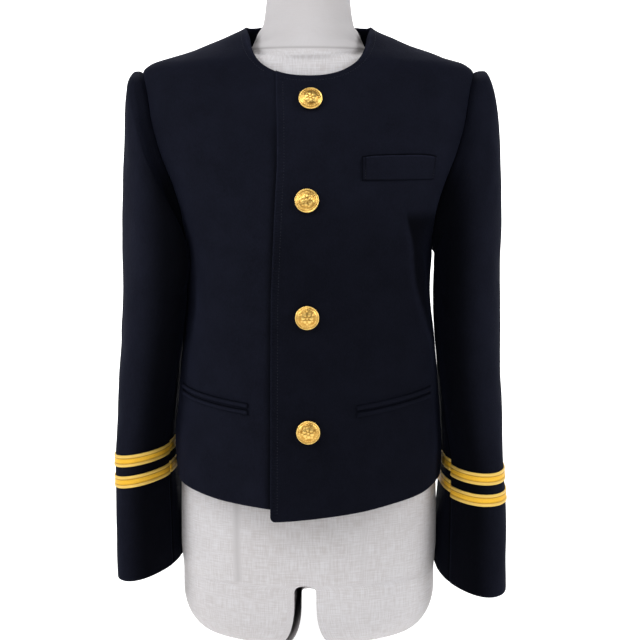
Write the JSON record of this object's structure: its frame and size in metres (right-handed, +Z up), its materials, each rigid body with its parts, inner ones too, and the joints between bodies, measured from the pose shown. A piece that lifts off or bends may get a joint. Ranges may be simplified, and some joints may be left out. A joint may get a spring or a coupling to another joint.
{
  "type": "collarless jacket on dress form",
  "caption": "Hip-length collarless wool jacket, buttoned at the front, with braided cuffs, a chest welt and jetted pockets, shown on a limbless linen dress form.",
  "frame": {"origin": "bottom centre of the overall box, on the surface that the form's thigh stubs stand on", "axes": "+Z up along the form; the jacket's front faces -Y; +X is the wearer's left"},
  "size_m": [0.4441, 0.2315, 0.765],
  "materials": {
    "navy_wool": "soft napped wool, nearly black navy",
    "gold_braid": "woven gold braid with a soft metallic sheen",
    "gilt_brass": "polished gilt brass with a worked dome",
    "pale_linen": "pale grey linen stretched over a form"
  },
  "bodies": {
    "root": {"front_left": "navy_wool", "front_right": "navy_wool", "back": "navy_wool", "sleeve_upper_left": "navy_wool", "sleeve_under_left": "navy_wool", "sleeve_upper_right": "navy_wool", "sleeve_under_right": "navy_wool", "chest_welt": "navy_wool", "pocket_lower_lip_left": "navy_wool", "pocket_upper_lip_left": "navy_wool", "pocket_lower_lip_right": "navy_wool", "pocket_upper_lip_right": "navy_wool", "upper_braid_upper_left": "gold_braid", "upper_braid_under_left": "gold_braid", "lower_braid_upper_left": "gold_braid", "lower_braid_under_left": "gold_braid", "upper_braid_upper_right": "gold_braid", "upper_braid_under_right": "gold_braid", "lower_braid_upper_right": "gold_braid", "lower_braid_under_right": "gold_braid", "button_1": "gilt_brass", "button_2": "gilt_brass", "button_3": "gilt_brass", "button_4": "gilt_brass", "dress_form": "pale_linen"}
  },
  "joints": []
}
